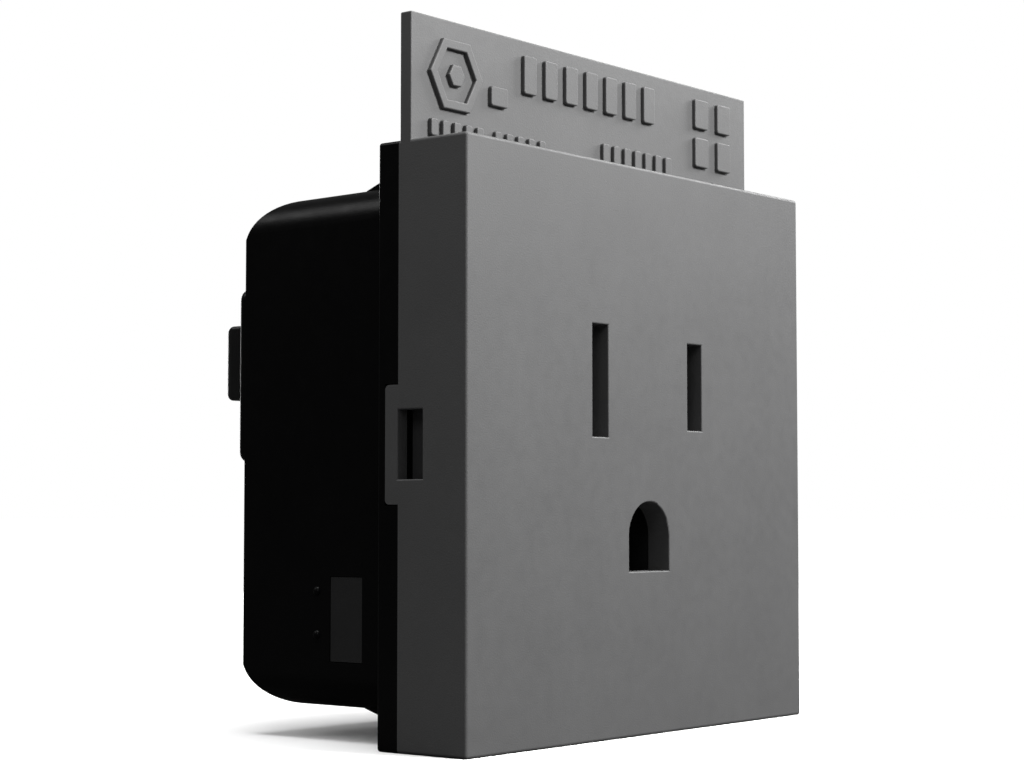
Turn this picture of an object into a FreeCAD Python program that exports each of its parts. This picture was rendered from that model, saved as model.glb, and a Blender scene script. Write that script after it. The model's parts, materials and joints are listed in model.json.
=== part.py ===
import FreeCAD, Part
import math
import os
from FreeCAD import Vector

# Single 15 A, 125 V tamper-resistant receptacle module, in millimetres.
# +X is right, +Y goes back from the plug face, +Z is up.
# The origin is the centre of the plug face, on its front surface.

# Cover: a shallow square cap, open at the back.
FACE_WIDTH = 44.4
FACE_HEIGHT = 44.2
FACE_WALL = 2.05
SIDE_WALL = 1.05
COVER_DEPTH = 6.45
COVER_EDGE_RADIUS = 0.25

# Plug openings, to the standard 15 A, 125 V grounding pattern.
BLADE_PITCH = 12.7
GROUND_DROP = 11.89
BLADE_Z = 5.14
NEUTRAL_SLOT = (2.03, 8.6)
HOT_SLOT = (2.05, 6.95)
GROUND_HOLE = 5.4

# Marking flange above the cover, with plain raised shapes on its front.
FLANGE_TOP = 31.5
FLANGE_FRONT = 5.3
FLANGE_THICK = 1.06
MARK_HEIGHT = 0.35
MARK_EDGE = 0.1
FLANGE_EDGE = 0.12
OPENING_EDGE = 0.12

# Side tabs of the cover, with a window for the wall frame's catch.
TAB_BACK = 7.7
TAB_HALF_HEIGHT = 4.32
TAB_RADIUS = 0.35
WINDOW_Y = (4.14, 6.52)
WINDOW_HALF_HEIGHT = 2.52

# Crush ribs inside the cover, below the shutter tray.
COVER_RIB_X = (-11.0, -7.0, 7.0, 11.0)
COVER_RIB_TOP = -13.0

# Snap tongues: two hold the cover to the rear housing, two hold the contact carrier in it.
TONGUE_THICK = 0.9
TONGUE_END = 15.95
HOOK_START = 12.75
HOOK_GAP = 0.05
HOOK_RECESS = 0.05
CARRIER_TONGUE_Z = (-16.1, -9.75)
COVER_TONGUE_HALF_WIDTH = 3.5
TONGUE_CLEARANCE = 0.06

# Rear housing: a flange plate with a tapered box behind it.
PLATE_THICK = 2.0
PLATE_EDGE = 0.2
BODY_HALF_WIDTH = 19.2
BODY_BACK = 25.3
BODY_WALL = 1.3
BACK_WALL = 1.7
BODY_TOP = 19.8
BODY_BOTTOM = 19.7
TOP_TAPER = 0.013
BOTTOM_TAPER = 0.002
REAR_ARC_START = 20.5
REAR_ARC_RADIUS = 5.4
SIDE_EDGE_RADIUS = 2.6
GUSSET_HALF_WIDTH = 17.0
GUSSET_END = 14.4
GUSSET_TOP = 22.0
GUSSET_BOTTOM = -21.45
PIP_RADIUS = 0.38
PIP_HEIGHT = 0.25
PIP_PLACES = ((17.35, -14.15), (17.35, -10.85))
RIB = 1.0
RIB_OVERLAP = 0.2
POLE_RIB_Z = (-2.1, 12.3)
STOP_RIB_Z = (3.0, 8.0)
GROUND_RIB_X = -4.9
GROUND_RIB_LOW = -18.0
STRIP_GAUGE_X = (-14.0, -3.0)
STRIP_GAUGE_Z = (-13.6, -12.0)
STRIP_GAUGE_DEPTH = 0.4

# Raised pads round the wire terminals, on the back of the housing.
PAD_HEIGHT = 1.9
PAD_RADIUS = 0.9
LINE_PAD = (-18.3, 18.3, -0.95, 12.9)
GROUND_PAD = (1.8, 12.1, -16.6, -8.6)

# Sheet-metal contacts.
STRIP = 0.6
BLADE_GAP = 1.7
GROUND_GAP = 4.9
CONTACT_MOUTH = 8.7
THROAT = 10.4
CONTACT_BEND = 0.65
LINE_CONTACT_Z = BLADE_Z - 3.9
GRIP_START = 11.2
GRIP_HALF_HEIGHT = 2.4
GROUND_HALF_HEIGHT = 2.1
GROUND_GRIP_Y = (12.0, 16.5)
GROUND_PLATE_BACK = 19.0
WIRE_FACE_STEP = 0.8
BLADE_CLIP_BACK = 19.4
GROUND_CLIP_BACK = 22.2
FLARE = 0.6

# Push-in wire terminals: offsets are measured outwards from the contact's wire face.
WIRE_HOLE_RADIUS = 1.05
WIRE_HOLE_CHAMFER = 0.4
WIRE_OFFSET = 0.9
WIRE_HALF_PITCH = 2.4
BUTTON_OFFSET = 4.0
BUTTON_WIDTH = 4.0
BUTTON_HEIGHT = 6.0
BUTTON_NOSE = 14.8
BUTTON_PROUD = 2.75
BUTTON_NOTCH = (0.8, 3.4)
BUTTON_NOTCH_DEPTH = 0.6
BUTTON_CLEARANCE = 0.15
BUTTON_EDGE = 1.0
BUTTON_SHOULDER = 0.8
SPRING_STRIP = 0.35
SPRING_ARM_OFFSET = 8.4
SPRING_ARM_BACK = 20.0
SPRING_CORNER_Y = 11.2
SPRING_TIP_Y = 16.6
SPRING_TIP_GAP = 0.15
SPRING_BEND = 1.2
LINE_TERMINAL_Z = 7.1
GROUND_TERMINAL_Z = -12.6
TERMINAL_HALF_HEIGHT = 3.6

# Shutters, their tray and return springs.
TRAY_HALF_WIDTH = 20.6
TRAY_Z = (-3.2, 12.4)
TRAY_FLOOR = 1.6
SHUTTER_Z = (-0.35, 10.65)
SHUTTER_INNER = 4.5
SHUTTER_OUTER = 11.4
SHUTTER_THICK = 2.4
SHUTTER_CLEARANCE = 0.15
SPRING_POCKET = 19.6
PEG_RADIUS = 0.4
PEG_LENGTH = 1.4
COIL_RADIUS = 0.75
COIL_WIRE = 0.3
COIL_TURNS = 7

# Values worked out from the ones above.
HALF_W = FACE_WIDTH / 2
HALF_H = FACE_HEIGHT / 2
BLADE_X = BLADE_PITCH / 2
GROUND_Z = BLADE_Z - GROUND_DROP
PLATE_BACK = COVER_DEPTH + PLATE_THICK
CAVITY_HALF_WIDTH = BODY_HALF_WIDTH - BODY_WALL
CAVITY_BACK = BODY_BACK - BACK_WALL
CARRIER_BACK = PLATE_BACK + 0.05
LINE_WIRE_FACE = BLADE_X + BLADE_GAP / 2 + STRIP + WIRE_FACE_STEP + STRIP
GROUND_WIRE_FACE = GROUND_GAP / 2 + STRIP
SHUTTER_FRONT = FACE_WALL + 0.2
SHUTTER_MID_Z = sum(SHUTTER_Z) / 2


def span(a, b):
    return min(a, b), max(a, b)


def box(xs, ys, zs):
    """Block between two corners; each pair may be given in either order."""
    (x0, x1), (y0, y1), (z0, z1) = span(*xs), span(*ys), span(*zs)
    return Part.makeBox(x1 - x0, y1 - y0, z1 - z0, Vector(x0, y0, z0))


def rounded_block(xs, ys, zs, radius):
    """Block whose four edges along Y are rounded."""
    block = box(xs, ys, zs)
    return block.makeFillet(radius, edges_along(block, Vector(0, 1, 0)))


def edges_along(shape, axis):
    """Straight edges of a shape that run along an axis."""
    found = []
    for edge in shape.Edges:
        if len(edge.Vertexes) != 2:
            continue
        run = edge.Vertexes[1].Point - edge.Vertexes[0].Point
        if run.Length > 0 and abs(abs(run.normalize().dot(axis)) - 1) < 1e-6:
            found.append(edge)
    return found


def rod(start, end, radius):
    """Round rod between two points."""
    run = end - start
    return Part.makeCylinder(radius, run.Length, start, run)


def prism(points, direction):
    """Straight prism: a closed outline of points, swept along a direction."""
    outline = Part.makePolygon(points + [points[0]])
    return Part.Face(outline).extrude(direction)


def mirrored(shape):
    """The same piece on the other side of the X = 0 plane."""
    return shape.mirror(Vector(0, 0, 0), Vector(1, 0, 0))


def bent_strip(path, thickness, radius, across, upright=False):
    """Sheet-metal strip of constant thickness that follows a path of (u, v) points.

    The strip lies in the XY plane and is as wide as the across pair along Z, or, if
    upright is true, it lies in the XZ plane and is as wide as that pair along Y.
    """
    low, high = span(*across)

    def place(point):
        if upright:
            return Vector(point.x, low, point.y)
        return Vector(point.x, point.y, low)

    knots = [Vector(u, v, 0) for u, v in path]
    runs = [(b - a).normalize() for a, b in zip(knots, knots[1:])]
    sides = [Vector(-d.y, d.x, 0) for d in runs]

    def one_side(offset):
        edges = []
        here = knots[0] + sides[0] * offset
        for i in range(1, len(knots) - 1):
            turn = math.atan2(runs[i - 1].cross(runs[i]).z, runs[i - 1].dot(runs[i]))
            sign = math.copysign(1, turn)
            reach = radius * math.tan(abs(turn) / 2)
            start = knots[i] - runs[i - 1] * reach
            centre = start + sides[i - 1] * (sign * radius)
            arc_start = start + sides[i - 1] * offset
            arc_end = knots[i] + runs[i] * reach + sides[i] * offset
            arc_middle = centre + (knots[i] - centre).normalize() * (radius - sign * offset)
            edges.append(Part.LineSegment(place(here), place(arc_start)).toShape())
            edges.append(Part.Arc(place(arc_start), place(arc_middle), place(arc_end)).toShape())
            here = arc_end
        last = knots[-1] + sides[-1] * offset
        edges.append(Part.LineSegment(place(here), place(last)).toShape())
        return edges, place(knots[0] + sides[0] * offset), place(last)

    left, left_start, left_end = one_side(thickness / 2)
    right, right_start, right_end = one_side(-thickness / 2)
    caps = [Part.LineSegment(left_start, right_start).toShape()]
    caps.append(Part.LineSegment(left_end, right_end).toShape())
    outline = Part.Wire(Part.__sortEdges__(left + right + caps))
    direction = Vector(0, high - low, 0) if upright else Vector(0, 0, high - low)
    return Part.Face(outline).extrude(direction)


# ---- cover -------------------------------------------------------------------


def slot(x, size, y0, y1, extra=0.0):
    """Upright rectangular opening for a flat blade."""
    half_w = size[0] / 2 + extra
    half_h = size[1] / 2 + extra
    return box((x - half_w, x + half_w), (y0, y1), (BLADE_Z - half_h, BLADE_Z + half_h))


def ground_opening(y0, y1):
    """Ground opening: flat at the bottom, round at the top."""
    half = GROUND_HOLE / 2
    lower = box((-half, half), (y0, y1), (GROUND_Z - half, GROUND_Z))
    return lower.fuse(rod(Vector(0, y0, GROUND_Z), Vector(0, y1, GROUND_Z), half))


def soften_front(shape, front, radius):
    """Rounds the edges that lie in the plane y = front."""
    edges = [e for e in shape.Edges if all(abs(v.Point.y - front) < 1e-6 for v in e.Vertexes)]
    return shape.makeFillet(radius, edges)


def raised_bars(x_start, x_end, count, zs):
    """Row of equal plain bars, each as wide as 1.4 times the gap between two."""
    gap = (x_end - x_start) / (count * 2.4 - 1)
    front = FLANGE_FRONT - MARK_HEIGHT
    bars = []
    for i in range(count):
        x = x_start + i * gap * 2.4
        bar = rounded_block((x, x + gap * 1.4), (front, FLANGE_FRONT + 0.1), zs, 2 * MARK_EDGE)
        bars.append(soften_front(bar, front, MARK_EDGE))
    return bars


def six_sided_mark(x, z, size, hole=0.0):
    """Plain raised hexagon, with a hexagonal hole in it if hole is given."""
    front = FLANGE_FRONT - MARK_HEIGHT

    def plate(radius):
        turns = [math.radians(60 * i) for i in range(6)]
        corners = [Vector(x + radius * math.cos(t), front, z + radius * math.sin(t)) for t in turns]
        return prism(corners, Vector(0, MARK_HEIGHT + 0.1, 0))

    mark = plate(size).cut(plate(hole)) if hole else plate(size)
    return soften_front(mark, front, MARK_EDGE)


def flange_marks():
    """Generic raised shapes: a six-sided mark and rows of plain bars."""
    marks = [six_sided_mark(-17.4, 27.4, 3.0, 2.2), six_sided_mark(-17.4, 27.4, 0.9)]
    marks += raised_bars(-13.4, -11.4, 1, (25.8, 27.3))
    marks += raised_bars(-9.4, 8.0, 7, (27.3, 30.3))
    marks += raised_bars(14.0, 19.4, 2, (27.9, 30.4))
    marks += raised_bars(14.0, 19.4, 2, (24.6, 27.1))
    marks += raised_bars(-20.3, -14.3, 5, (22.6, 23.9))
    marks += raised_bars(-12.9, -6.7, 5, (22.6, 23.9))
    marks += raised_bars(0.8, 10.4, 7, (23.2, 24.8))
    return marks


def cover_tongue(sign):
    """Snap tongue in the middle of the cover's top (sign 1) or bottom (sign -1) edge."""
    width = (-COVER_TONGUE_HALF_WIDTH, COVER_TONGUE_HALF_WIDTH)
    surface = (body_top if sign > 0 else body_bottom)(TONGUE_END)
    outer = surface - sign * (BODY_WALL + 0.1)
    inner = outer - sign * TONGUE_THICK
    stem = box(width, (FACE_WALL - 0.5, TONGUE_END), (inner, outer))
    return stem.fuse(box(width, (HOOK_START, TONGUE_END), (inner, surface - sign * HOOK_RECESS)))


def side_tab():
    """Left tab that laps over the housing's flange plate, before its window is cut."""
    tab = box((-HALF_W, -HALF_W + SIDE_WALL), (WINDOW_Y[0], TAB_BACK), (-TAB_HALF_HEIGHT, TAB_HALF_HEIGHT))
    back_corners = [e for e in edges_along(tab, Vector(1, 0, 0)) if e.Vertexes[0].Point.y > COVER_DEPTH]
    return tab.makeFillet(TAB_RADIUS, back_corners)


def marking_flange():
    """Upright plate behind the cover's top edge, with its free edges rounded."""
    low = HALF_H - SIDE_WALL / 2
    plate = box((-HALF_W, HALF_W), (FLANGE_FRONT, FLANGE_FRONT + FLANGE_THICK), (low, FLANGE_TOP))
    free_edges = [e for e in plate.Edges if any(v.Point.z > low + 1e-6 for v in e.Vertexes)]
    return plate.makeFillet(FLANGE_EDGE, free_edges)


def soften_openings(cover):
    """Rounds the outer edges of the plug openings and of the side windows."""
    edges = []
    for edge in cover.Edges:
        points = [v.Point for v in edge.Vertexes]
        on_face = all(abs(p.y) < 1e-6 and abs(p.x) < HALF_W / 2 and abs(p.z) < HALF_H / 2 for p in points)
        on_side = all(abs(abs(p.x) - HALF_W) < 1e-6 and abs(p.z) < WINDOW_HALF_HEIGHT + 0.01 for p in points)
        if on_face or on_side:
            edges.append(edge)
    return cover.makeFillet(OPENING_EDGE, edges)


def front_cover():
    shell = box((-HALF_W, HALF_W), (0, COVER_DEPTH), (-HALF_H, HALF_H))
    outer_edges = edges_along(shell, Vector(0, 1, 0))
    outer_edges += [e for e in shell.Edges if all(v.Point.y < 1e-6 for v in e.Vertexes)]
    shell = shell.makeFillet(COVER_EDGE_RADIUS, outer_edges)
    inner_w = HALF_W - SIDE_WALL
    inner_h = HALF_H - SIDE_WALL
    shell = shell.cut(box((-inner_w, inner_w), (FACE_WALL, COVER_DEPTH), (-inner_h, inner_h)))
    added = [marking_flange(), side_tab(), mirrored(side_tab())]
    added += [cover_tongue(1), cover_tongue(-1)]
    for x in COVER_RIB_X:
        rib_z = (-inner_h - 0.3, COVER_RIB_TOP)
        added.append(box((x - RIB / 2, x + RIB / 2), (FACE_WALL - 0.5, COVER_DEPTH), rib_z))
    cover = shell.fuse(added + flange_marks())
    window_x = (-HALF_W - 1, -HALF_W + SIDE_WALL + 0.01)
    window = box(window_x, WINDOW_Y, (-WINDOW_HALF_HEIGHT, WINDOW_HALF_HEIGHT))
    openings = [window, mirrored(window), ground_opening(-1, FACE_WALL + 0.01)]
    openings.append(slot(-BLADE_X, NEUTRAL_SLOT, -1, FACE_WALL + 0.01))
    openings.append(slot(BLADE_X, HOT_SLOT, -1, FACE_WALL + 0.01))
    return soften_openings(cover.cut(openings).removeSplitter())


# ---- rear housing ------------------------------------------------------------


def body_top(y):
    return BODY_TOP - TOP_TAPER * (y - PLATE_BACK)


def body_bottom(y):
    return -(BODY_BOTTOM - BOTTOM_TAPER * (y - PLATE_BACK))


def rear_arc(sign, inset, x, back):
    """Start, middle and end of the rear arc at the top (sign 1) or bottom (sign -1)."""
    slope = math.atan(TOP_TAPER if sign > 0 else BOTTOM_TAPER)
    radius = REAR_ARC_RADIUS - inset
    start_z = (body_top if sign > 0 else body_bottom)(REAR_ARC_START)
    centre_y = REAR_ARC_START - REAR_ARC_RADIUS * math.sin(slope)
    centre_z = start_z - sign * REAR_ARC_RADIUS * math.cos(slope)
    end = math.asin(min(1.0, (back - centre_y) / radius))
    points = []
    for angle in (slope, (slope + end) / 2, end):
        z = centre_z + sign * radius * math.cos(angle)
        points.append(Vector(x, centre_y + radius * math.sin(angle), z))
    return points


def housing_body(half_width, inset, front, back):
    """Tapered box whose rear top and bottom edges are large arcs."""
    x = -half_width
    top_start, top_middle, top_end = rear_arc(1, inset, x, back)
    low_start, low_middle, low_end = rear_arc(-1, inset, x, back)
    front_top = Vector(x, front, top_start.z + TOP_TAPER * (top_start.y - front))
    front_low = Vector(x, front, low_start.z - BOTTOM_TAPER * (low_start.y - front))
    outline = Part.Wire([
        Part.LineSegment(front_top, top_start).toShape(),
        Part.Arc(top_start, top_middle, top_end).toShape(),
        Part.LineSegment(top_end, low_end).toShape(),
        Part.Arc(low_end, low_middle, low_start).toShape(),
        Part.LineSegment(low_start, front_low).toShape(),
        Part.LineSegment(front_low, front_top).toShape(),
    ])
    return Part.Face(outline).extrude(Vector(2 * half_width, 0, 0))


def gusset(sign):
    """Wedge between the flange plate and the top (sign 1) or bottom (sign -1) of the body."""
    x = -GUSSET_HALF_WIDTH
    surface = (body_top if sign > 0 else body_bottom)(GUSSET_END)
    at_plate = GUSSET_TOP if sign > 0 else GUSSET_BOTTOM
    points = [
        Vector(x, PLATE_BACK, at_plate),
        Vector(x, GUSSET_END, surface),
        Vector(x, GUSSET_END, surface - sign * BODY_WALL / 2),
        Vector(x, PLATE_BACK, surface - sign * BODY_WALL / 2),
    ]
    return prism(points, Vector(2 * GUSSET_HALF_WIDTH, 0, 0))


def pad(area):
    """Raised pad on the back, with its back edges rounded."""
    x0, x1, z0, z1 = area
    block = rounded_block((x0, x1), (BODY_BACK - BACK_WALL, BODY_BACK + PAD_HEIGHT), (z0, z1), PAD_RADIUS)
    back_edges = []
    for edge in block.Edges:
        if all(v.Point.y > BODY_BACK + PAD_HEIGHT - 1e-6 for v in edge.Vertexes):
            back_edges.append(edge)
    return block.makeFillet(PAD_RADIUS * 0.8, back_edges)


def outer_body():
    """Body whose four long edges are rounded straight through the arcs at its rear."""
    front = PLATE_BACK - 0.5
    corners = []
    for y in (front, BODY_BACK + 1):
        corners.append(Vector(-BODY_HALF_WIDTH, y, body_top(y)))
    for y in (BODY_BACK + 1, front):
        corners.append(Vector(-BODY_HALF_WIDTH, y, body_bottom(y)))
    tube = prism(corners, Vector(2 * BODY_HALF_WIDTH, 0, 0))
    long_edges = []
    for edge in tube.Edges:
        points = [v.Point for v in edge.Vertexes]
        if abs(points[0].y - points[1].y) > 1:
            long_edges.append(edge)
    rounded = tube.makeFillet(SIDE_EDGE_RADIUS, long_edges)
    return rounded.common(housing_body(HALF_W, 0, front, BODY_BACK))


def housing_ribs():
    """Walls inside the housing that part the poles and back up the metal pieces."""
    depth = (CARRIER_BACK, CAVITY_BACK)
    barrier = BLADE_X - BLADE_GAP / 2 - STRIP - FLARE - RIB_OVERLAP
    ribs = []
    for z in POLE_RIB_Z:
        ribs.append(box((-CAVITY_HALF_WIDTH, CAVITY_HALF_WIDTH), depth, (z - RIB / 2, z + RIB / 2)))
    for sign in (-1, 1):
        ribs.append(box((sign * barrier, sign * (barrier - RIB)), depth, POLE_RIB_Z))
        stop_x = (sign * (BLADE_X - RIB), sign * (BLADE_X + RIB))
        ribs.append(box(stop_x, (BLADE_CLIP_BACK + 0.6, CAVITY_BACK), STOP_RIB_Z))
    back_up = GROUND_WIRE_FACE + SPRING_ARM_OFFSET + SPRING_STRIP / 2 + 0.05
    for x in (back_up, GROUND_RIB_X):
        ribs.append(box((x, x + RIB), depth, (GROUND_RIB_LOW, POLE_RIB_Z[0])))
    return ribs


def wire_holes(face, side, z):
    """Two round wire entries of one terminal, each with a small lead-in."""
    x = side * (face + WIRE_OFFSET)
    back = BODY_BACK + PAD_HEIGHT
    wide = WIRE_HOLE_RADIUS + WIRE_HOLE_CHAMFER
    cutters = []
    for hole_z in (z - WIRE_HALF_PITCH, z + WIRE_HALF_PITCH):
        cutters.append(rod(Vector(x, CAVITY_BACK - 1, hole_z), Vector(x, back + 1, hole_z), WIRE_HOLE_RADIUS))
        mouth = Vector(x, back - WIRE_HOLE_CHAMFER, hole_z)
        cutters.append(Part.makeCone(WIRE_HOLE_RADIUS, wide, WIRE_HOLE_CHAMFER, mouth, Vector(0, 1, 0)))
    return cutters


def button_opening(face, side, z):
    x0 = side * (face + BUTTON_OFFSET - BUTTON_CLEARANCE)
    x1 = side * (face + BUTTON_OFFSET + BUTTON_WIDTH + BUTTON_CLEARANCE)
    half = BUTTON_HEIGHT / 2 + BUTTON_CLEARANCE
    return box((x0, x1), (CAVITY_BACK - 1, BODY_BACK + PAD_HEIGHT + 1), (z - half, z + half))


TERMINALS = {
    "neutral": (LINE_WIRE_FACE, -1, LINE_TERMINAL_Z),
    "hot": (LINE_WIRE_FACE, 1, LINE_TERMINAL_Z),
    "ground": (GROUND_WIRE_FACE, 1, GROUND_TERMINAL_Z),
}


def rear_housing():
    plate = box((-HALF_W, HALF_W), (COVER_DEPTH, PLATE_BACK), (-HALF_H, HALF_H))
    plate = plate.makeFillet(COVER_EDGE_RADIUS, edges_along(plate, Vector(0, 1, 0)))
    plate = soften_front(plate, PLATE_BACK, PLATE_EDGE)
    solid = plate.fuse([outer_body(), gusset(1), gusset(-1), pad(LINE_PAD), pad(GROUND_PAD)])
    cavity = housing_body(CAVITY_HALF_WIDTH, BODY_WALL, COVER_DEPTH, CAVITY_BACK)
    shell = solid.cut(cavity)
    ribs = housing_ribs()
    rib_limit = housing_body(
        CAVITY_HALF_WIDTH + RIB_OVERLAP, BODY_WALL - RIB_OVERLAP, COVER_DEPTH, CAVITY_BACK + RIB_OVERLAP
    )
    inner_ribs = ribs[0].fuse(ribs[1:]).common(rib_limit)
    pips = []
    for side in (-1, 1):
        for y, z in PIP_PLACES:
            centre = Vector(side * (BODY_HALF_WIDTH + PIP_HEIGHT - PIP_RADIUS), y, z)
            pips.append(Part.makeSphere(PIP_RADIUS, centre))
    housing = shell.fuse([inner_ribs] + pips)
    cutters = []
    for face, side, z in TERMINALS.values():
        cutters += wire_holes(face, side, z)
        cutters.append(button_opening(face, side, z))
    hook_y = (HOOK_START - HOOK_GAP, TONGUE_END + HOOK_GAP)
    side_z = (CARRIER_TONGUE_Z[0] - TONGUE_CLEARANCE, CARRIER_TONGUE_Z[1] + TONGUE_CLEARANCE)
    notch_z = (-TAB_HALF_HEIGHT - 0.08, TAB_HALF_HEIGHT + 0.08)
    notch_x = HALF_W - SIDE_WALL
    notch_y = (COVER_DEPTH - 1, TAB_BACK + 0.05)
    for side in (-1, 1):
        cutters.append(box((side * (CAVITY_HALF_WIDTH - 0.1), side * HALF_W), hook_y, side_z))
        cutters.append(box((side * notch_x, side * (HALF_W + 1)), notch_y, notch_z))
    tongue_x = COVER_TONGUE_HALF_WIDTH + TONGUE_CLEARANCE
    for sign in (-1, 1):
        cutters.append(box((-tongue_x, tongue_x), hook_y, (sign * (BODY_TOP - 2.5), sign * HALF_H)))
    cutters.append(box(STRIP_GAUGE_X, (BODY_BACK - STRIP_GAUGE_DEPTH, BODY_BACK + 1), STRIP_GAUGE_Z))
    return housing.cut(cutters).removeSplitter()


# ---- inner plastic pieces ----------------------------------------------------


def carrier_tongue():
    """Left snap tongue of the carrier; its hook fills the housing's side window."""
    outer = -CAVITY_HALF_WIDTH + 0.1
    inner = outer + TONGUE_THICK
    stem = box((outer, inner), (COVER_DEPTH, TONGUE_END), CARRIER_TONGUE_Z)
    hook = box((-BODY_HALF_WIDTH + HOOK_RECESS, inner), (HOOK_START, TONGUE_END), CARRIER_TONGUE_Z)
    return stem.fuse(hook)


def contact_carrier():
    """Plate that closes the front of the housing and guides the plug's blades and pin."""
    half_w = CAVITY_HALF_WIDTH - 0.1
    low = body_bottom(CARRIER_BACK) + BODY_WALL + 0.15
    high = body_top(CARRIER_BACK) - BODY_WALL - 0.15
    plate = box((-half_w, half_w), (COVER_DEPTH, CARRIER_BACK), (low, high))
    outer = GROUND_HOLE / 2 + 1.2
    collar = rounded_block(
        (-outer, outer), (FACE_WALL + 0.25, CARRIER_BACK), (GROUND_Z - outer, TRAY_Z[0] - 0.1), 0.2
    )
    inner = GROUND_HOLE / 2 + 0.25
    pin_z = (GROUND_Z - inner, GROUND_Z + inner)
    pin_way = rounded_block((-inner, inner), (FACE_WALL, CARRIER_BACK + 1), pin_z, 0.5)
    carrier = plate.fuse([collar, carrier_tongue(), mirrored(carrier_tongue())]).cut(pin_way)
    cutters = []
    for x in (-BLADE_X, BLADE_X):
        cutters.append(slot(x, NEUTRAL_SLOT, COVER_DEPTH - 1, CARRIER_BACK + 1, 0.3))
    tongue_x = COVER_TONGUE_HALF_WIDTH + 0.15
    for sign, edge in ((1, high), (-1, low)):
        surface = (body_top if sign > 0 else body_bottom)(TONGUE_END)
        notch = surface - sign * (BODY_WALL + TONGUE_THICK + 0.2)
        cutters.append(box((-tongue_x, tongue_x), (COVER_DEPTH - 1, CARRIER_BACK + 1), (notch, edge + sign)))
    return carrier.cut(cutters).removeSplitter()


def shutter_tray():
    """Tub behind the plug face in which both shutters slide."""
    tub = box((-TRAY_HALF_WIDTH, TRAY_HALF_WIDTH), (FACE_WALL, COVER_DEPTH), TRAY_Z)
    pocket_z = (SHUTTER_Z[0] - SHUTTER_CLEARANCE, SHUTTER_Z[1] + SHUTTER_CLEARANCE)
    tub = tub.cut(box((-SPRING_POCKET, SPRING_POCKET), (FACE_WALL - 1, COVER_DEPTH - TRAY_FLOOR), pocket_z))
    cutters = [slot(x, NEUTRAL_SLOT, FACE_WALL, COVER_DEPTH + 1, 0.25) for x in (-BLADE_X, BLADE_X)]
    tub = tub.cut(cutters)
    peg_y = SHUTTER_FRONT + SHUTTER_THICK / 2
    pegs = []
    for side in (-1, 1):
        foot = Vector(side * (SPRING_POCKET + 0.3), peg_y, SHUTTER_MID_Z)
        tip = Vector(side * (SPRING_POCKET - PEG_LENGTH), peg_y, SHUTTER_MID_Z)
        pegs.append(rod(foot, tip, PEG_RADIUS))
    return tub.fuse(pegs).removeSplitter()


def shutter():
    """Left shutter: a block with a ramp that a blade pushes outwards, and a spring peg."""
    ramp_start = BLADE_X + 1.9
    back = SHUTTER_FRONT + SHUTTER_THICK
    outline = [
        Vector(-SHUTTER_OUTER, SHUTTER_FRONT, SHUTTER_Z[0]),
        Vector(-ramp_start, SHUTTER_FRONT, SHUTTER_Z[0]),
        Vector(-SHUTTER_INNER, back - 0.5, SHUTTER_Z[0]),
        Vector(-SHUTTER_INNER, back, SHUTTER_Z[0]),
        Vector(-SHUTTER_OUTER, back, SHUTTER_Z[0]),
    ]
    block = prism(outline, Vector(0, 0, SHUTTER_Z[1] - SHUTTER_Z[0]))
    peg_y = SHUTTER_FRONT + SHUTTER_THICK / 2
    foot = Vector(-SHUTTER_OUTER + 0.3, peg_y, SHUTTER_MID_Z)
    tip = Vector(-SHUTTER_OUTER - PEG_LENGTH, peg_y, SHUTTER_MID_Z)
    return block.fuse(rod(foot, tip, PEG_RADIUS)).removeSplitter()


def shutter_spring():
    """Left coil spring, between the shutter and the tray's end wall."""
    length = SPRING_POCKET - SHUTTER_OUTER - COIL_WIRE - 0.1
    helix = Part.makeHelix(length / COIL_TURNS, length, COIL_RADIUS)
    section = Part.makeCircle(COIL_WIRE / 2, Vector(COIL_RADIUS, 0, 0), Vector(0, 1, 0))
    coil = Part.Wire(helix).makePipeShell([Part.Wire(section)], True, True)
    start = Vector(-SHUTTER_OUTER - COIL_WIRE / 2 - 0.05, SHUTTER_FRONT + SHUTTER_THICK / 2, SHUTTER_MID_Z)
    coil.rotate(Vector(0, 0, 0), Vector(0, 1, 0), -90)
    coil.translate(start)
    return coil


# ---- metal pieces ------------------------------------------------------------


def line_contact():
    """Neutral contact: one strip that grips the blade and turns back to the wire face."""
    leaf = BLADE_GAP / 2 + STRIP / 2
    inner = -BLADE_X + leaf
    outer = -BLADE_X - leaf
    base = BLADE_CLIP_BACK - STRIP / 2
    wire_face = -LINE_WIRE_FACE + STRIP / 2
    path = [
        (inner + FLARE, CONTACT_MOUTH), (inner, THROAT), (inner, base), (outer, base),
        (outer, CONTACT_MOUTH + 0.4), (wire_face, CONTACT_MOUTH + 0.4), (wire_face, BLADE_CLIP_BACK - 0.8),
    ]
    top = LINE_TERMINAL_Z + TERMINAL_HALF_HEIGHT
    return bent_strip(path, STRIP, CONTACT_BEND, (LINE_CONTACT_Z, top))


def line_grip_spring():
    """Steel clip that presses both leaves of a line contact together."""
    side = BLADE_GAP / 2 + STRIP + SPRING_STRIP / 2 + 0.02
    back = BLADE_CLIP_BACK + SPRING_STRIP / 2 + 0.1
    inner = -BLADE_X + side
    outer = -BLADE_X - side
    path = [(inner, GRIP_START), (inner, back), (outer, back), (outer, GRIP_START)]
    return bent_strip(path, SPRING_STRIP, 0.8, (BLADE_Z - GRIP_HALF_HEIGHT, BLADE_Z + GRIP_HALF_HEIGHT))


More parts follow.
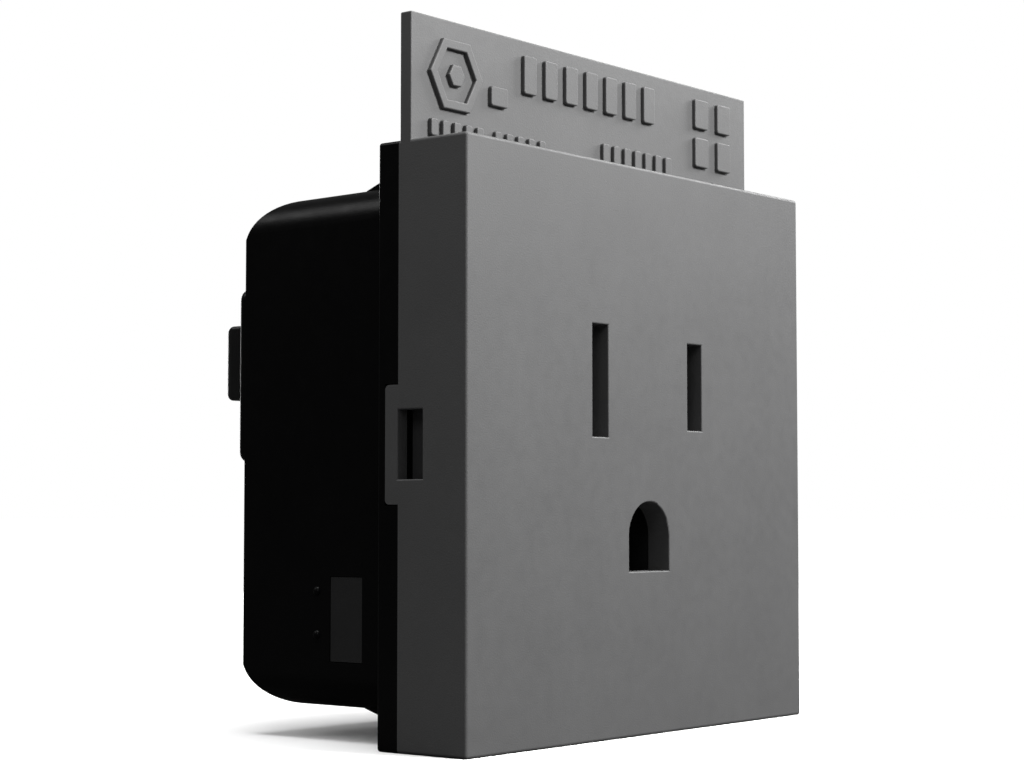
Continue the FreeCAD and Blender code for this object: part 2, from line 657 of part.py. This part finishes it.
def ground_contact():
    """Ground contact: two leaves round the pin; the right one reaches down to the wires."""
    leaf = GROUND_GAP / 2 + STRIP / 2
    base = GROUND_CLIP_BACK - STRIP / 2
    path = [
        (-leaf - FLARE, CONTACT_MOUTH), (-leaf, THROAT), (-leaf, base),
        (leaf, base), (leaf, THROAT), (leaf + FLARE, CONTACT_MOUTH),
    ]
    top = GROUND_Z + GROUND_HALF_HEIGHT
    clip = bent_strip(path, STRIP, CONTACT_BEND, (GROUND_Z - GROUND_HALF_HEIGHT, top))
    wire_plate = box(
        (GROUND_GAP / 2, GROUND_WIRE_FACE), (THROAT + 0.6, GROUND_PLATE_BACK),
        (GROUND_TERMINAL_Z - TERMINAL_HALF_HEIGHT, top),
    )
    return clip.fuse(wire_plate).removeSplitter()


def ground_grip_spring():
    """Steel clip that straddles the ground contact from above."""
    side = GROUND_WIRE_FACE + SPRING_STRIP / 2 + 0.02
    top = GROUND_Z + GROUND_HALF_HEIGHT + SPRING_STRIP / 2 + 0.3
    low = GROUND_Z - GROUND_HALF_HEIGHT + 0.2
    path = [(-side, low), (-side, top), (side, top), (side, low)]
    return bent_strip(path, SPRING_STRIP, 0.5, GROUND_GRIP_Y, upright=True)


def wire_spring(face, side, z):
    """Leaf spring that presses two wires on the contact; a bent arm holds it to the wall."""
    arm = side * (face + SPRING_ARM_OFFSET)
    tip = side * (face + SPRING_STRIP / 2 + SPRING_TIP_GAP)
    path = [(arm, SPRING_ARM_BACK), (arm, SPRING_CORNER_Y), (tip, SPRING_TIP_Y)]
    return bent_strip(path, SPRING_STRIP, SPRING_BEND, (z - TERMINAL_HALF_HEIGHT, z + TERMINAL_HALF_HEIGHT))


def release_button(face, side, z, back):
    """Push button that bends the leaf spring off its wires; a shoulder keeps it in."""
    inner = side * (face + BUTTON_OFFSET)
    outer = side * (face + BUTTON_OFFSET + BUTTON_WIDTH)
    half = BUTTON_HEIGHT / 2
    tip = BUTTON_NOSE - 1.7
    outline = [
        Vector(inner, BUTTON_NOSE, z - half), Vector(inner + side * 2.2, tip, z - half),
        Vector(outer, tip, z - half), Vector(outer, CAVITY_BACK - 0.1, z - half),
        Vector(inner, CAVITY_BACK - 0.1, z - half),
    ]
    shank = prism(outline, Vector(0, 0, BUTTON_HEIGHT))
    head = rounded_block((inner, outer), (CAVITY_BACK - 1, back), (z - half, z + half), 0.3)
    back_edges = [e for e in head.Edges if all(v.Point.y > back - 1e-6 for v in e.Vertexes)]
    head = head.makeFillet(BUTTON_EDGE, back_edges)
    reach = half + BUTTON_SHOULDER
    shoulder = box((inner, outer), (CAVITY_BACK - 1.3, CAVITY_BACK - 0.1), (z - reach, z + reach))
    middle = (inner + outer) / 2
    notch = box(
        (middle - BUTTON_NOTCH[0] / 2, middle + BUTTON_NOTCH[0] / 2), (back - BUTTON_NOTCH_DEPTH, back + 1),
        (z - BUTTON_NOTCH[1] / 2, z + BUTTON_NOTCH[1] / 2),
    )
    return shank.fuse([head, shoulder]).cut(notch).removeSplitter()


# ---- all nodes ---------------------------------------------------------------


def all_nodes():
    nodes = {
        "front_cover": front_cover(),
        "rear_housing": rear_housing(),
        "contact_carrier": contact_carrier(),
        "shutter_tray": shutter_tray(),
        "shutter_neutral": shutter(),
        "shutter_hot": mirrored(shutter()),
        "shutter_spring_neutral": shutter_spring(),
        "shutter_spring_hot": mirrored(shutter_spring()),
        "neutral_contact": line_contact(),
        "hot_contact": mirrored(line_contact()),
        "ground_contact": ground_contact(),
        "neutral_grip_spring": line_grip_spring(),
        "hot_grip_spring": mirrored(line_grip_spring()),
        "ground_grip_spring": ground_grip_spring(),
    }
    button_back = BODY_BACK + PAD_HEIGHT + BUTTON_PROUD
    for pole, (face, side, z) in TERMINALS.items():
        nodes[pole + "_wire_spring"] = wire_spring(face, side, z)
        nodes[pole + "_release_button"] = release_button(face, side, z, button_back)
    return nodes


os.makedirs("parts", exist_ok=True)
for name, shape in all_nodes().items():
    solids = shape.Solids
    if len(solids) != 1 or not solids[0].isValid():
        raise RuntimeError("%s: %d solids" % (name, len(solids)))
    solids[0].exportStep("parts/%s.step" % name)
    print("%-24s %9.2f mm3" % (name, solids[0].Volume))
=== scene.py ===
import json
import math
from collections import namedtuple

import bmesh
import bpy
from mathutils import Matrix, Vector


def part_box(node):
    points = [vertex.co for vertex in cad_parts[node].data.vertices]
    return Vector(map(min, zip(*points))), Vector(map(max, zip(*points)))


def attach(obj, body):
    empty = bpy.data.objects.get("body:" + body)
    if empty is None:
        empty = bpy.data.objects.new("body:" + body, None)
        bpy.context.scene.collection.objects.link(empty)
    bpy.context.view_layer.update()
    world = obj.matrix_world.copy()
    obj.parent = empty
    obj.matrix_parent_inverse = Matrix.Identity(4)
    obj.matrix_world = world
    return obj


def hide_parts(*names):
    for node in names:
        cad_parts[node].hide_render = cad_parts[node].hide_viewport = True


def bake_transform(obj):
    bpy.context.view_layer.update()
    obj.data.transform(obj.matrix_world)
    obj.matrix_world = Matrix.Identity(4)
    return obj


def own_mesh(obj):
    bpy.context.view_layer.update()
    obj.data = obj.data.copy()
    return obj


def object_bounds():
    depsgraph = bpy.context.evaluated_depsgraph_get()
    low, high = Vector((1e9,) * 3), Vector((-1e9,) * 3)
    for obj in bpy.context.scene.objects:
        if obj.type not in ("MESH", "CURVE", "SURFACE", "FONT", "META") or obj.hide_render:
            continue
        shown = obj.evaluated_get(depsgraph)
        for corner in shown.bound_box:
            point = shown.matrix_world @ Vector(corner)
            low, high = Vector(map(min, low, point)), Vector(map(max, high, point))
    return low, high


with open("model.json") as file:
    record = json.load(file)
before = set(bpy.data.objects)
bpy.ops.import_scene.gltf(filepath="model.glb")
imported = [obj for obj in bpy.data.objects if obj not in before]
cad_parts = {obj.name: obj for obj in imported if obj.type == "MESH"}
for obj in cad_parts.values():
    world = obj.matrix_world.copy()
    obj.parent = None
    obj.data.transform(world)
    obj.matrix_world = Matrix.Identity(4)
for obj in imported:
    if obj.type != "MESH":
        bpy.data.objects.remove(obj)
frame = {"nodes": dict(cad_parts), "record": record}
CAD_LOW, CAD_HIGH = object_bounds()
NODES = frame["nodes"]
CENTRE = (CAD_LOW + CAD_HIGH) / 2

# Camera: where it stands round its target, in degrees and metres. The origin is the plug face's centre.
CAMERA_AZIMUTH = -51.14
CAMERA_ELEVATION = -3.435
CAMERA_DISTANCE = 0.17953
CAMERA_LENS = 76.55
CAMERA_TARGET = Vector((0.00036, 0.01408, 0.00570))
CAMERA_SENSOR = 36.0
CAMERA_CLIP = (0.01, 50.0)

# Square softboxes: place from the object's centre and width in metres, and power in watts.
Softbox = namedtuple("Softbox", "name place width power")
SOFTBOXES = (
    Softbox("key", (0.026, -0.150, 0.098), 0.05, 0.77),
    Softbox("left_fill", (-0.16, -0.10, 0.10), 0.08, 0.065),
    Softbox("left_rim", (-0.13, 0.17, 0.19), 0.10, 0.15),
    Softbox("right_fill", (0.22, -0.06, 0.13), 0.10, 0.50),
    Softbox("back", (0.13, 0.27, 0.02), 0.14, 0.36),
)
OVERHEAD_STRENGTH = 3.2
OVERHEAD_ANGLE = 35

# Surround and floor: the grey that the camera sees, and the grey that lights the object.
SURROUND_GREYS = (1.0, 0.12)
FLOOR_GREYS = (0.95, 0.07)
FLOOR_ROUGHNESS = 0.9
FLOOR_SPECULAR = 0.1
FLOOR_HALF_WIDTH = 6.0

# Noise scales, in features per metre, and the parts of the noise range that are put to use.
MOTTLE_SCALE = 160.0
GLOSS_SCALE = 900.0
WAVE_SCALE = 120.0
WAVE_SHARE = 0.6
ROLLING_SCALE = 700.0
ROLLING_DEPTH = 0.00001
ROLLING_STRENGTH = 0.5
TARNISH_SCALE = 220.0
COLOUR_RANGE = (0.35, 0.65)
GLOSS_RANGE = (0.3, 0.7)

# Rubbed edges: radius in metres, and how far two normals agree at no wear and at full wear.
EDGE_RADIUS = 0.0002
EDGE_SAMPLES = 4
EDGE_AGREEMENT = (0.995, 0.8)

# Springs, in metres.
COIL_RADIUS = 0.00075
COIL_WIRE = 0.0003
COIL_TURNS = 6
COIL_STEPS = 24
COIL_SIDES = 10
LEAF_THICK = 0.00035
LEAF_BEND = 0.001
LEAF_BEND_Y = 0.0112
LEAF_TIP_Y = 0.0166
LEAF_TIP_INSET = 0.0001
LEAF_SLIT = 0.0003
LEAF_ARM_STEPS = 8
LEAF_STEPS = 16
SMOOTH_ANGLE = 40


# ---- camera, floor and light ---------------------------------------------------


def aim(obj, target):
    """Turns an object so that its -Z axis points at the target."""
    look = target - obj.location
    yaw = math.atan2(look.x, look.y)
    pitch = math.atan2(look.z, math.hypot(look.x, look.y))
    obj.rotation_euler = (math.radians(90) + pitch, 0.0, -yaw)


def make_camera():
    """Camera on a sphere round its target, at the azimuth and elevation above."""
    data = bpy.data.cameras.new("camera")
    data.lens = CAMERA_LENS
    data.sensor_width = CAMERA_SENSOR
    data.clip_start, data.clip_end = CAMERA_CLIP
    camera = bpy.data.objects.new("camera", data)
    bpy.context.scene.collection.objects.link(camera)
    azimuth = math.radians(CAMERA_AZIMUTH)
    elevation = math.radians(CAMERA_ELEVATION)
    level = math.cos(elevation)
    back = Vector((math.sin(azimuth) * level, -math.cos(azimuth) * level, math.sin(elevation)))
    camera.location = CAMERA_TARGET + back * CAMERA_DISTANCE
    aim(camera, CAMERA_TARGET)
    bpy.context.scene.camera = camera


def softbox(box):
    """Square area light aimed at the object; the camera doesn't see it."""
    data = bpy.data.lights.new(box.name, "AREA")
    data.size = box.width
    data.energy = box.power
    light = bpy.data.objects.new(box.name, data)
    bpy.context.scene.collection.objects.link(light)
    light.location = CENTRE + Vector(box.place)
    light.visible_camera = False
    aim(light, CENTRE)


def make_lights():
    """Softboxes round the object, and a wide soft sun straight above that whitens the floor."""
    for box in SOFTBOXES:
        softbox(box)
    data = bpy.data.lights.new("overhead", "SUN")
    data.energy = OVERHEAD_STRENGTH
    data.angle = math.radians(OVERHEAD_ANGLE)
    overhead = bpy.data.objects.new("overhead", data)
    bpy.context.scene.collection.objects.link(overhead)


def camera_only(tree, seen, unseen):
    """Two colours in one: the camera sees the first, and light bounces off the second."""
    path = tree.nodes.new("ShaderNodeLightPath")
    mix = tree.nodes.new("ShaderNodeMix")
    mix.data_type = "RGBA"
    tree.links.new(path.outputs["Is Camera Ray"], mix.inputs["Factor"])
    mix.inputs["A"].default_value = (unseen, unseen, unseen, 1.0)
    mix.inputs["B"].default_value = (seen, seen, seen, 1.0)
    return mix.outputs["Result"]


def make_world():
    """White surround that gives only a little light of its own."""
    world = bpy.data.worlds.new("surround")
    bpy.context.scene.world = world
    world.use_nodes = True
    tree = world.node_tree
    tree.links.new(camera_only(tree, *SURROUND_GREYS), tree.nodes["Background"].inputs["Color"])


def make_floor():
    """Plain pale floor at the object's lowest point."""
    mesh = bpy.data.meshes.new("floor")
    half = FLOOR_HALF_WIDTH
    corners = [(x, y, CAD_LOW.z) for x, y in ((-half, -half), (half, -half), (half, half), (-half, half))]
    mesh.from_pydata(corners, [], [(0, 1, 2, 3)])
    floor = bpy.data.objects.new("floor", mesh)
    bpy.context.scene.collection.objects.link(floor)
    material = bpy.data.materials.new("floor")
    material.use_nodes = True
    tree = material.node_tree
    shader = tree.nodes["Principled BSDF"]
    tree.links.new(camera_only(tree, *FLOOR_GREYS), shader.inputs["Base Color"])
    shader.inputs["Roughness"].default_value = FLOOR_ROUGHNESS
    shader.inputs["Specular IOR Level"].default_value = FLOOR_SPECULAR
    mesh.materials.append(material)


# ---- materials -----------------------------------------------------------------


class Shader:
    """Short way to build one node material."""

    def __init__(self, name, roughness, specular=0.5, metallic=0.0):
        self.material = bpy.data.materials.new(name)
        self.material.use_nodes = True
        self.tree = self.material.node_tree
        self.bsdf = self.tree.nodes["Principled BSDF"]
        self.bsdf.inputs["Roughness"].default_value = roughness
        self.bsdf.inputs["Specular IOR Level"].default_value = specular
        self.bsdf.inputs["Metallic"].default_value = metallic
        self.position = self.tree.nodes.new("ShaderNodeTexCoord").outputs["Object"]

    def link(self, a, b):
        self.tree.links.new(a, b)

    def noise(self, scale, detail=3.0, stretch=None):
        """Noise whose scale is in features per metre."""
        node = self.tree.nodes.new("ShaderNodeTexNoise")
        node.inputs["Scale"].default_value = scale
        node.inputs["Detail"].default_value = detail
        source = self.position
        if stretch:
            mapping = self.tree.nodes.new("ShaderNodeMapping")
            mapping.inputs["Scale"].default_value = stretch
            self.link(source, mapping.inputs["Vector"])
            source = mapping.outputs["Vector"]
        self.link(source, node.inputs["Vector"])
        return node.outputs["Fac"]

    def ramp(self, value, low, high):
        """Value turned into a colour between low and high."""
        node = self.tree.nodes.new("ShaderNodeValToRGB")
        for element, place, colour in zip(node.color_ramp.elements, COLOUR_RANGE, (low, high)):
            element.position = place
            element.color = (*colour, 1.0)
        self.link(value, node.inputs["Fac"])
        return node.outputs["Color"]

    def spread(self, value, low, high):
        """The middle part of a noise value spread over low to high."""
        node = self.tree.nodes.new("ShaderNodeMapRange")
        node.inputs["From Min"].default_value = GLOSS_RANGE[0]
        node.inputs["From Max"].default_value = GLOSS_RANGE[1]
        node.inputs["To Min"].default_value = low
        node.inputs["To Max"].default_value = high
        self.link(value, node.inputs["Value"])
        return node.outputs["Result"]

    def edges(self):
        """About 0 on flat areas and up to 1 on edges narrower than the wear radius."""
        bevel = self.tree.nodes.new("ShaderNodeBevel")
        bevel.samples = EDGE_SAMPLES
        bevel.inputs["Radius"].default_value = EDGE_RADIUS
        geometry = self.tree.nodes.new("ShaderNodeNewGeometry")
        dot = self.tree.nodes.new("ShaderNodeVectorMath")
        dot.operation = "DOT_PRODUCT"
        self.link(bevel.outputs["Normal"], dot.inputs[0])
        self.link(geometry.outputs["Normal"], dot.inputs[1])
        spread = self.tree.nodes.new("ShaderNodeMapRange")
        spread.inputs["From Min"].default_value = EDGE_AGREEMENT[0]
        spread.inputs["From Max"].default_value = EDGE_AGREEMENT[1]
        self.link(dot.outputs["Value"], spread.inputs["Value"])
        return spread.outputs["Result"]

    def mix(self, factor, a, b):
        """Colour a turned towards the constant colour b by a factor."""
        node = self.tree.nodes.new("ShaderNodeMix")
        node.data_type = "RGBA"
        self.link(factor, node.inputs["Factor"])
        self.link(a, node.inputs["A"])
        node.inputs["B"].default_value = (*b, 1.0)
        return node.outputs["Result"]

    def multiply(self, a, amount):
        node = self.tree.nodes.new("ShaderNodeMath")
        node.operation = "MULTIPLY"
        self.link(a, node.inputs[0])
        node.inputs[1].default_value = amount
        return node.outputs["Value"]

    def bump(self, height, distance, strength=1.0, under=None):
        node = self.tree.nodes.new("ShaderNodeBump")
        node.inputs["Distance"].default_value = distance
        node.inputs["Strength"].default_value = strength
        self.link(height, node.inputs["Height"])
        if under is not None:
            self.link(under, node.inputs["Normal"])
        return node.outputs["Normal"]


# Colours are from dark to light in the mottling, gloss is from smooth to rough, and the grain's
# scale and depth are in features per metre and in metres.
Plastic = namedtuple("Plastic", "dark light gloss specular grain depth edge wear")
PLASTICS = {
    "grey_cover": Plastic((0.060, 0.060, 0.0605), (0.064, 0.064, 0.0645), (0.50, 0.62), 0.35,
                          9000.0, 0.000012, (0.085, 0.085, 0.086), 0.5),
    "grey_tray": Plastic((0.030, 0.030, 0.031), (0.036, 0.036, 0.037), (0.50, 0.62), 0.3,
                         7000.0, 0.00001, (0.045, 0.045, 0.045), 0.3),
    "carrier_plastic": Plastic((0.0095, 0.0095, 0.0098), (0.0115, 0.0115, 0.0118), (0.45, 0.55), 0.3,
                               7000.0, 0.00001, (0.03, 0.03, 0.03), 0.3),
    "black_plastic": Plastic((0.0011, 0.0011, 0.0012), (0.0016, 0.0016, 0.0017), (0.29, 0.36), 0.075,
                             6000.0, 0.000006, (0.005, 0.005, 0.0055), 0.4),
    "button_plastic": Plastic((0.0020, 0.0020, 0.0021), (0.0030, 0.0030, 0.0032), (0.30, 0.42), 0.25,
                              4000.0, 0.000008, (0.016, 0.016, 0.016), 0.5),
    "shutter_plastic": Plastic((0.020, 0.020, 0.021), (0.026, 0.026, 0.027), (0.28, 0.38), 0.4,
                               3000.0, 0.000006, (0.03, 0.03, 0.03), 0.3),
}

# Stretch sets the direction of the rolling lines: they run along the axis with the small number.
Metal = namedtuple("Metal", "dark light gloss stretch")
METALS = {
    "brass": Metal((0.62, 0.40, 0.16), (0.76, 0.55, 0.25), (0.24, 0.40), (1.0, 0.08, 1.0)),
    "spring_steel": Metal((0.42, 0.42, 0.44), (0.58, 0.58, 0.60), (0.20, 0.36), (1.0, 1.0, 0.08)),
}


def moulded_plastic(name, look):
    """Spark-textured moulding: fine grain, slow mottling, and rubbed edges."""
    s = Shader(name, look.gloss[0], look.specular)
    colour = s.ramp(s.noise(MOTTLE_SCALE, 4.0), look.dark, look.light)
    wear = s.multiply(s.edges(), look.wear)
    s.link(s.mix(wear, colour, look.edge), s.bsdf.inputs["Base Color"])
    s.link(s.spread(s.noise(GLOSS_SCALE, 3.0), *look.gloss), s.bsdf.inputs["Roughness"])
    fine = s.bump(s.noise(look.grain, 2.0), look.depth)
    wavy = s.bump(s.noise(WAVE_SCALE, 1.0), look.depth * WAVE_SHARE, under=fine)
    s.link(wavy, s.bsdf.inputs["Normal"])
    return s.material


def rolled_metal(name, look):
    """Rolled strip: fine lines along the rolling direction and slow tarnish."""
    s = Shader(name, look.gloss[0], metallic=1.0)
    lines = s.noise(ROLLING_SCALE, 4.0, look.stretch)
    s.link(s.ramp(s.noise(TARNISH_SCALE, 3.0), look.dark, look.light), s.bsdf.inputs["Base Color"])
    s.link(s.spread(lines, *look.gloss), s.bsdf.inputs["Roughness"])
    s.link(s.bump(lines, ROLLING_DEPTH, ROLLING_STRENGTH), s.bsdf.inputs["Normal"])
    return s.material


def make_materials():
    """Every material by the name of its slot in the record."""
    materials = {name: moulded_plastic(name, look) for name, look in PLASTICS.items()}
    for name, look in METALS.items():
        materials[name] = rolled_metal(name, look)
    return materials


def finish_cad_nodes(materials):
    """Gives each CAD node the material that the record names for it."""
    slots = {part["node"]: part["material_slot"] for part in frame["record"]["subparts"]}
    for name, node in NODES.items():
        node.data.materials.clear()
        node.data.materials.append(materials[slots[name]])


# ---- springs, in their rest shape ----------------------------------------------


def mesh_piece(name, mesh_data, material):
    """Object made of a bmesh, with smooth shading and one material."""
    mesh = bpy.data.meshes.new(name)
    bmesh.ops.recalc_face_normals(mesh_data, faces=mesh_data.faces)
    mesh_data.to_mesh(mesh)
    mesh_data.free()
    for face in mesh.polygons:
        face.use_smooth = True
    mesh.set_sharp_from_angle(angle=math.radians(SMOOTH_ANGLE))
    mesh.materials.append(material)
    piece = bpy.data.objects.new(name, mesh)
    bpy.context.scene.collection.objects.link(piece)
    return piece


def outer_first(low, high, side):
    """The two ends of a box along X, the one further out on the given side first."""
    return (low.x, high.x) if side < 0 else (high.x, low.x)


def coil_points(start, length):
    """Centre line of a coil along X, with one closed turn at each end."""
    points = []
    steps = (COIL_TURNS + 2) * COIL_STEPS
    pitch = (length - 2 * COIL_WIRE) / COIL_TURNS
    for i in range(steps + 1):
        turn = i / COIL_STEPS
        open_turns = min(max(turn - 1.0, 0.0), COIL_TURNS)
        closed = (turn - open_turns) * COIL_WIRE
        along = math.copysign(open_turns * pitch + closed, start.x)
        angle = 2 * math.pi * turn
        offset = Vector((along, COIL_RADIUS * math.sin(angle), COIL_RADIUS * math.cos(angle)))
        points.append(start + offset)
    return points


def tube(points, radius, sides=COIL_SIDES):
    """Closed round tube along a line of points."""
    data = bmesh.new()
    rings = []
    for i, point in enumerate(points):
        ahead = points[min(i + 1, len(points) - 1)] - points[max(i - 1, 0)]
        run = ahead.normalized()
        across = run.cross(Vector((1.0, 0.0, 0.0))).normalized()
        up = run.cross(across)
        ring = []
        for k in range(sides):
            angle = 2 * math.pi * k / sides
            ring.append(data.verts.new(point + radius * (math.cos(angle) * across + math.sin(angle) * up)))
        rings.append(ring)
    for a, b in zip(rings, rings[1:]):
        for k in range(sides):
            n = (k + 1) % sides
            data.faces.new((a[k], a[n], b[n], b[k]))
    data.faces.new(rings[0])
    data.faces.new(rings[-1])
    return data


def make_shutter_springs(material):
    """Return springs, coiled at rest length; on the object they close up towards the tray's end wall as the
    shutter opens.
    """
    for pole, side in (("neutral", -1), ("hot", 1)):
        low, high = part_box("shutter_spring_" + pole)
        outer, inner = outer_first(low, high, side)
        middle = (low + high) / 2
        start = Vector((inner + side * COIL_WIRE / 2, middle.y, middle.z))
        length = abs(outer - inner) - COIL_WIRE
        piece = mesh_piece("return_coil_" + pole, tube(coil_points(start, length), COIL_WIRE / 2), material)
        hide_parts("shutter_spring_" + pole)
        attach(piece, "receptacle")
        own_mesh(piece)


def leaf_line(arm_x, back, tip):
    """Line of a wire spring in the XY plane: along its arm, round the bend and out to the tip."""
    corner = Vector((arm_x, LEAF_BEND_Y))
    along = (tip - corner).normalized()
    first = corner + Vector((0.0, LEAF_BEND))
    last = corner + along * LEAF_BEND
    points = [Vector((arm_x, back)).lerp(first, i / LEAF_ARM_STEPS) for i in range(LEAF_ARM_STEPS)]
    for i in range(LEAF_STEPS):
        t = i / LEAF_STEPS
        points.append((1 - t) ** 2 * first + 2 * t * (1 - t) * corner + t ** 2 * last)
    return points + [last.lerp(tip, i / LEAF_STEPS) for i in range(LEAF_STEPS + 1)]


def leaf_mesh(points, z, half_height):
    """Strip of even thickness along a line; a slit past the arm parts it into two fingers."""
    data = bmesh.new()
    heights = (z - half_height, z - LEAF_SLIT, z + LEAF_SLIT, z + half_height)
    grid = []
    for i, point in enumerate(points):
        run = (points[min(i + 1, len(points) - 1)] - points[max(i - 1, 0)]).normalized()
        offset = Vector((-run.y, run.x)) * LEAF_THICK / 2
        grid.append([[data.verts.new((*(point + side * offset), h)) for h in heights] for side in (1, -1)])
    end = len(points) - 1
    for i in range(end):
        here, there = grid[i], grid[i + 1]
        for k in range(3):
            if k != 1 or i < LEAF_ARM_STEPS:
                for side in (0, 1):
                    data.faces.new((here[side][k], here[side][k + 1], there[side][k + 1], there[side][k]))
        for k in (0, 3) if i < LEAF_ARM_STEPS else (0, 1, 2, 3):
            data.faces.new((here[0][k], here[1][k], there[1][k], there[0][k]))
    for i, k in ((0, 0), (0, 1), (0, 2), (LEAF_ARM_STEPS, 1), (end, 0), (end, 2)):
        ring = grid[i]
        data.faces.new((ring[0][k], ring[0][k + 1], ring[1][k + 1], ring[1][k]))
    return data


def make_wire_springs(material):
    """Leaf springs of the wire terminals, in their rest shape; on the object they bend when their release
    button is pressed.
    """
    for pole, side in (("neutral", -1), ("hot", 1), ("ground", 1)):
        low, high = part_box(pole + "_wire_spring")
        outer, inner = outer_first(low, high, side)
        z = (low.z + high.z) / 2
        arm_x = outer - side * LEAF_THICK / 2
        tip = Vector((inner + side * LEAF_TIP_INSET, LEAF_TIP_Y))
        leaf = leaf_mesh(leaf_line(arm_x, high.y, tip), z, (high.z - low.z) / 2)
        piece = mesh_piece(pole + "_wire_leaf", leaf, material)
        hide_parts(pole + "_wire_spring")
        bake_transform(piece)


make_camera()
make_world()
make_lights()
make_floor()
MATERIALS = make_materials()
finish_cad_nodes(MATERIALS)
make_shutter_springs(MATERIALS["spring_steel"])
make_wire_springs(MATERIALS["spring_steel"])

bpy.context.scene.view_settings.view_transform = "Standard"
